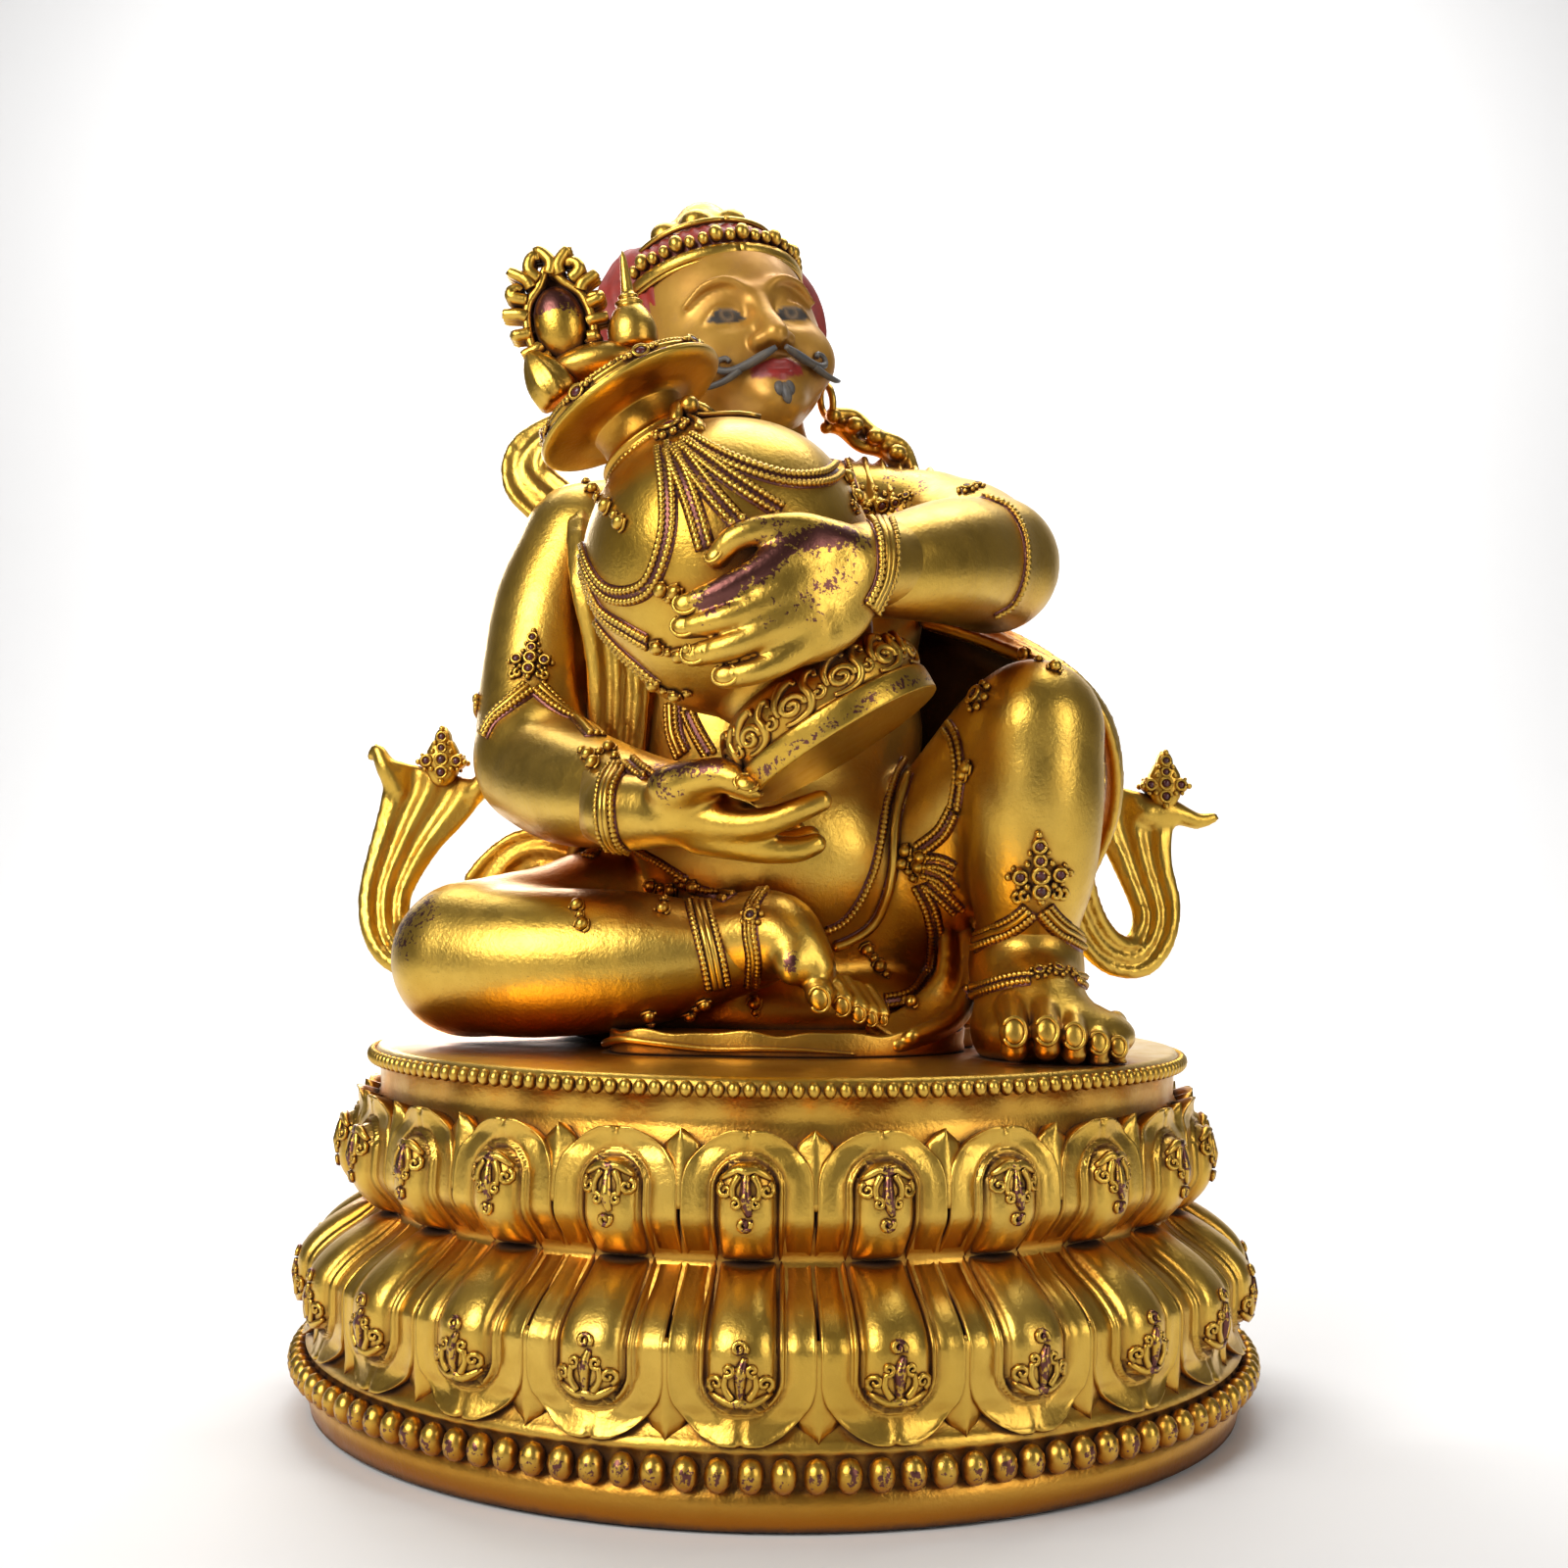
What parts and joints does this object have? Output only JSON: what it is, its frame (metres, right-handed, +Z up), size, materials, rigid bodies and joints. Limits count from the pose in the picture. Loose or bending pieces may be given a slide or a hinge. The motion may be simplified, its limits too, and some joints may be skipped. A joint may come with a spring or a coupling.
{
  "type": "gilt bronze seated deity statue embracing a vase on a lotus base",
  "caption": "Seated deity in gilt bronze with raised knee, embracing a tall leaning treasure vase, on a round double-lotus base with beaded rings.",
  "frame": {"origin": "middle of the lotus base's underside", "axes": "+Z up, the figure faces -Y, +X to the viewer's right"},
  "size_m": [0.4806, 0.4806, 0.6097],
  "materials": {
    "base_gilding": "worn fire gilding over bronze, dark dirt in the hollows, copper showing on the beads",
    "figure_gilding": "worn fire gilding over bronze with rubbed copper-brown patches; painted hair, eyes and lips",
    "vase_gilding": "polished worn gilding over bronze, dark dirt along the beaded strands"
  },
  "bodies": {
    "root": {"lotus_base": "base_gilding", "figure": "figure_gilding", "vase": "vase_gilding"}
  },
  "joints": []
}
